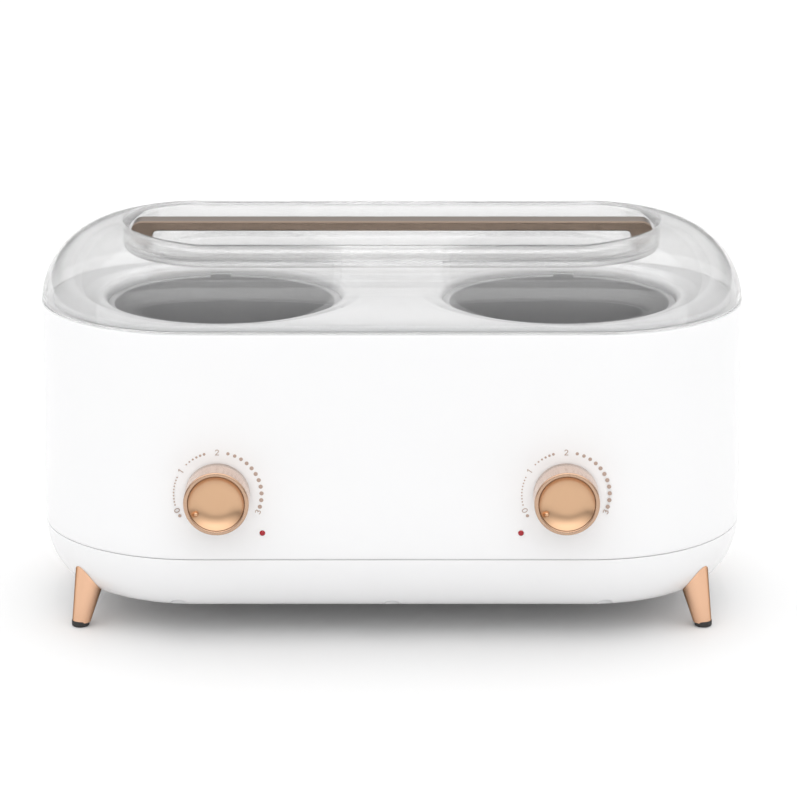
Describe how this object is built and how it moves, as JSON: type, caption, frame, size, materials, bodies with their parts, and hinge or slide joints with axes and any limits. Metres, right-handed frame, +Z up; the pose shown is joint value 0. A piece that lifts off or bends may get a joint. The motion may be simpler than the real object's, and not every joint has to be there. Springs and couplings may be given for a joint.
{
  "type": "wax warmer pot",
  "caption": "Twin-pot table-top wax warmer: white pill-shaped housing on splayed legs, lift-out pots, turning dials and one clear domed lid with a bar grip.",
  "frame": {"origin": "on the floor, at the centre of the whole object seen from above, dials and cord gland included", "axes": "+Z up, +X along the length to the right, front with the dials towards -Y"},
  "size_m": [0.3624, 0.1844, 0.2025],
  "materials": {
    "white_gloss": "moulded white ABS, glossy",
    "rose_gold": "rose-gold plated, satin bright",
    "foot_rubber": "matt",
    "steel": "plated",
    "cup_aluminium": "plain",
    "pot_aluminium": "satin anodised",
    "heater_mica": "mica band",
    "insulation": "ceramic fibre and wire sleeve",
    "brass": "plain",
    "red_lens": "clear red",
    "black_plastic": "moulded",
    "clear_plastic": "clear moulded plastic"
  },
  "bodies": {
    "base": {"housing": "white_gloss", "base_tray": "white_gloss", "top_deck": "white_gloss", "leg_front_left": "rose_gold", "leg_front_right": "rose_gold", "leg_rear_left": "rose_gold", "leg_rear_right": "rose_gold", "foot_front_left": "foot_rubber", "foot_front_right": "foot_rubber", "foot_rear_left": "foot_rubber", "foot_rear_right": "foot_rubber", "leg_bolt_front_left": "steel", "leg_bolt_front_right": "steel", "leg_bolt_rear_left": "steel", "leg_bolt_rear_right": "steel", "housing_screw_1": "steel", "housing_screw_2": "steel", "housing_screw_3": "steel", "housing_screw_4": "steel", "housing_screw_5": "steel", "housing_screw_6": "steel", "heater_cup_left": "cup_aluminium", "heater_band_left": "heater_mica", "heat_shield_left": "steel", "insulation_pad_left": "insulation", "thermostat_left": "brass", "dial_nut_left": "steel", "lamp_lens_left": "red_lens", "lamp_holder_left": "black_plastic", "lead_left": "insulation", "thermal_fuse_left": "steel", "heater_cup_right": "cup_aluminium", "heater_band_right": "heater_mica", "heat_shield_right": "steel", "insulation_pad_right": "insulation", "thermostat_right": "brass", "dial_nut_right": "steel", "lamp_lens_right": "red_lens", "lamp_holder_right": "black_plastic", "lead_right": "insulation", "thermal_fuse_right": "steel", "support_plate": "steel", "cord_gland": "black_plastic", "terminal_block": "white_gloss", "lead_mains": "insulation"},
    "lid": {"lid_shell": "clear_plastic", "lid_handle": "rose_gold", "handle_screw_left": "steel", "handle_screw_right": "steel"},
    "pot_left": {"pot_left": "pot_aluminium"},
    "pot_right": {"pot_right": "pot_aluminium"},
    "dial_left": {"knob_left": "rose_gold", "knob_face_left": "rose_gold", "dial_shaft_left": "steel"},
    "dial_right": {"knob_right": "rose_gold", "knob_face_right": "rose_gold", "dial_shaft_right": "steel"}
  },
  "joints": [
    {"name": "lid_lift", "type": "slide", "parent": "base", "child": "lid", "axis": [0, 0, 1], "range_m": [0, 0.14]},
    {"name": "pot_lift_left", "type": "slide", "parent": "base", "child": "pot_left", "axis": [0, 0, 1], "range_m": [0, 0.07]},
    {"name": "pot_lift_right", "type": "slide", "parent": "base", "child": "pot_right", "axis": [0, 0, 1], "range_m": [0, 0.07]},
    {"name": "dial_turn_left", "type": "hinge", "parent": "base", "child": "dial_left", "pos_m": [-0.087, -0.07463, 0.0805], "axis": [0, 1, 0], "range_deg": [0, 232]},
    {"name": "dial_turn_right", "type": "hinge", "parent": "base", "child": "dial_right", "pos_m": [0.087, -0.07463, 0.0805], "axis": [0, 1, 0], "range_deg": [0, 232]}
  ],
  "couplings": [
    {"joint": "pot_lift_left", "follows": "lid_lift", "ratio": 0.5},
    {"joint": "pot_lift_right", "follows": "lid_lift", "ratio": 0.5}
  ]
}
